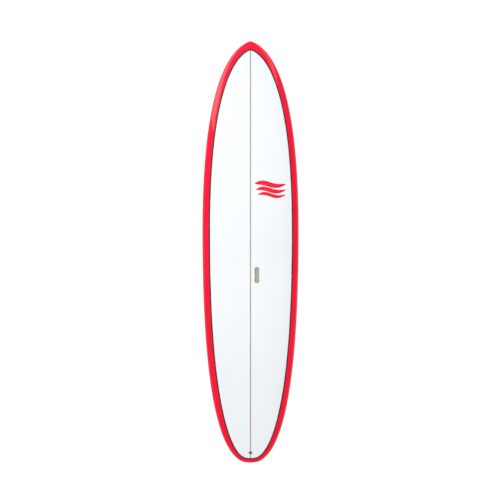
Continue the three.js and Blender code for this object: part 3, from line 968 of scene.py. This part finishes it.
def leash_cup():
    def ring(radius, z):
        return ring_at(circle(radius, 64), z)

    rings = [ring(LEASH_OUTER, -LEASH_DEPTH - LEASH_FLOOR)]
    rings += [ring(LEASH_OUTER - inset, -drop) for inset, drop in fillet(0.0006)]
    rings += [ring(LEASH_INNER + drop, -inset) for inset, drop in fillet(0.0009, 6)]
    rings += [ring(LEASH_INNER - 0.0002 - inset, -LEASH_DEPTH + drop) for inset, drop in fillet(0.0025, 6)]
    rings.append(ring(0.004, -LEASH_DEPTH))
    cup = loft("leash_plug_fine", rings)
    seat = turned_pin("seat", BAR_SEAT, LEASH_OUTER + LEASH_INNER, chamfer=0.0001)
    return place(boolean(cup, place(seat, BAR_PLACE), "DIFFERENCE"), LEASH_FRAME)


finish_piece(leash_cup(), GREY, "grey_plastic", BODY, "leash_plug")
leash_bar = turned_pin("leash_bar_fine", BAR_RADIUS, BAR_LENGTH, chamfer=0.0005)
place(leash_bar, LEASH_FRAME @ BAR_PLACE)
finish_piece(leash_bar, STEEL, "bar_steel", BODY, "leash_bar")
leash_rings = [ring_at(circle(LEASH_OUTER + HOLE_GAP, 64), z) for z in HOLE_CUT]
leash_cutter = place(loft("leash_hole", leash_rings), LEASH_FRAME)

# ---------------------------------------------------------------- skins and pinline in place

shell = boolean(red_shell(), join(plug_cutters, "plug_holes"), "DIFFERENCE")
finish_piece(shell, RED, "red_gloss", BODY, "bottom_laminate")

deck = boolean(deck_skin(), join([handle_cutter, leash_cutter], "deck_holes"), "DIFFERENCE")
finish_piece(deck, DECK, "clear_deck", BODY, "deck_laminate")
deck.data.materials.append(DECK_WOOD)
for face in deck.data.polygons:
    face.material_index = int(abs(face.center.x) < STRINGER_HALF)

finish_piece(pinline(), BLACK, "black_line", BODY, "pinline")

# ---------------------------------------------------------------- marks under the glass

def wave_band(name, centre, length, height, low, high, surface, lift):
    """A tapered band that rises and falls once. low and high are its edges, as shares of the height."""
    u = np.linspace(0, 1, 140)
    crest = 0.10 * np.sin(2 * math.pi * u + 0.3)
    taper = np.sin(math.pi * u ** 0.85) ** 0.55
    middle = mix(low, high, 0.5) + crest
    half = (high - low) / 2 * taper
    x = centre[0] + (u - 0.5) * length
    lines = []
    for edge in (middle - half, middle + half):
        lines.append(np.column_stack([x, centre[1] + (edge - 0.5) * height]))
    profile = (0, 1, 1, 1, 1, 1, 0)
    return surface_strip(name, lines[0], lines[1], surface, lift, profile)


# (lower edge, upper edge, how much shorter) of each band
WAVE_BANDS = ((0.66, 1.00, 0.0), (0.30, 0.60, 0.04), (0.00, 0.24, 0.10))
MARK_LIFT = 0.00015


def wave_mark(name, centre, length, height, surface, outward, material, slot):
    strips = [
        wave_band(f"{name}_{i}", (centre[0] + shift * length / 2, centre[1]), length * (1 - shift), height,
                  low, high, surface, outward * MARK_LIFT)
        for i, (low, high, shift) in enumerate(WAVE_BANDS)
    ]
    finish_piece(join(strips, name), material, slot)


wave_mark("deck_mark", (0.132, 0.444), 0.206, 0.099, deck_height, 1, RED_INK, "red_gloss")
wave_mark("bottom_mark", (-0.146, 0.396), 0.215, 0.103, bottom_surface, -1, WHITE_INK, "clear_deck")
wave_mark("small_bottom_mark", (0.0, -0.871), 0.053, 0.042, bottom_surface, -1, DARK_INK, "clear_deck")

# ---------------------------------------------------------------- what stays from the CAD

for node, material in (("foam_left", FOAM), ("foam_right", FOAM), ("stringer", WOOD)):
    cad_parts[node].data.materials.clear()
    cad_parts[node].data.materials.append(material)
for name in PLUG_PLACES:
    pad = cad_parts[f"barrel_pad_{name}"]
    pad.data.materials.clear()
    pad.data.materials.append(RUBBER)

# ---------------------------------------------------------------- studio

def studio_floor():
    m = Material("studio_floor", Roughness=0.9)
    shade = m.noise(0.8, 2, 0.5)
    m.feed("Base Color", m.ramp(shade, [(0.3, (0.44, 0.44, 0.44)), (0.7, (0.46, 0.46, 0.46))]))
    m.shader.inputs["Emission Color"].default_value = (1, 1, 1, 1)
    m.shader.inputs["Emission Strength"].default_value = 0.78
    size = 60
    corners = [(-size, -size, 0), (size, -size, 0), (size, size, 0), (-size, size, 0)]
    floor = new_object("studio_floor", corners, [(0, 1, 2, 3)])
    floor.data.materials.append(m.material)
    floor.location.z = -0.0005
    floor.visible_diffuse = False
    floor.visible_shadow = False


def area_light(name, location, target, size, power, reflected=True):
    data = bpy.data.lights.new(name, "AREA")
    data.shape = "RECTANGLE"
    data.size, data.size_y = size
    data.energy = power
    lamp = bpy.data.objects.new(name, data)
    bpy.context.scene.collection.objects.link(lamp)
    lamp.location = location
    lamp.rotation_euler = (Vector(target) - Vector(location)).to_track_quat("-Z", "Y").to_euler()
    lamp.visible_camera = False
    lamp.visible_glossy = reflected


# degrees above the horizon at which the reflected world starts and ends its fade
BRIGHT_BELOW, DIM_ABOVE = 8, 34


def studio_world():
    """White to the camera, even in diffuse light; reflections see it bright low down and dim overhead."""
    world = bpy.data.worlds.new("studio")
    world.use_nodes = True
    nodes, links = world.node_tree.nodes, world.node_tree.links
    rays = nodes.new("ShaderNodeLightPath")
    split = nodes.new("ShaderNodeSeparateXYZ")
    links.new(nodes.new("ShaderNodeTexCoord").outputs["Generated"], split.inputs["Vector"])
    height = nodes.new("ShaderNodeMapRange")
    height.interpolation_type = "SMOOTHSTEP"
    height.inputs["From Min"].default_value = math.sin(math.radians(BRIGHT_BELOW))
    height.inputs["From Max"].default_value = math.sin(math.radians(DIM_ABOVE))
    links.new(split.outputs["Z"], height.inputs["Value"])

    def choose(factor, low, high):
        node = nodes.new("ShaderNodeMix")
        node.data_type = "RGBA"
        links.new(factor, node.inputs[0])
        for socket, value in ((node.inputs[6], low), (node.inputs[7], high)):
            if isinstance(value, tuple):
                socket.default_value = (*value, 1)
            else:
                links.new(value, socket)
        return node.outputs[2]

    reflected = choose(height.outputs["Result"], (0.92, 0.93, 0.94), (0.13, 0.13, 0.14))
    lit = choose(rays.outputs["Is Glossy Ray"], (0.52, 0.52, 0.53), reflected)
    seen = choose(rays.outputs["Is Camera Ray"], lit, (1.0, 1.0, 1.0))
    links.new(seen, nodes["Background"].inputs["Color"])
    bpy.context.scene.world = world


studio_floor()
studio_world()
area_light("overhead", (-0.9, 0.35, 4.6), (0, 0.1, 0), (4.2, 4.8), 136, reflected=False)
area_light("left_softbox", (-2.6, 3.05, 2.3), (0, 1.7, 0.1), (2.2, 2.2), 36)
area_light("right_softbox", (1.9, 3.0, 3.0), (0, 1.2, 0.1), (1.2, 1.6), 7.5)

# above the deck's middle, a few millimetres to one side; an unturned camera looks down
CAMERA_PLACE = (-0.0034, 0, 2.5055)
LENS, SENSOR_WIDTH = 26.28, 36
FRAMING_SHIFT = 0.0129
camera_data = bpy.data.cameras.new("camera")
camera_data.lens = LENS
camera_data.sensor_width = SENSOR_WIDTH
camera_data.shift_y = FRAMING_SHIFT
camera = bpy.data.objects.new("camera", camera_data)
bpy.context.scene.collection.objects.link(camera)
camera.location = CAMERA_PLACE
bpy.context.scene.camera = camera
bpy.context.scene.view_settings.view_transform = "Standard"
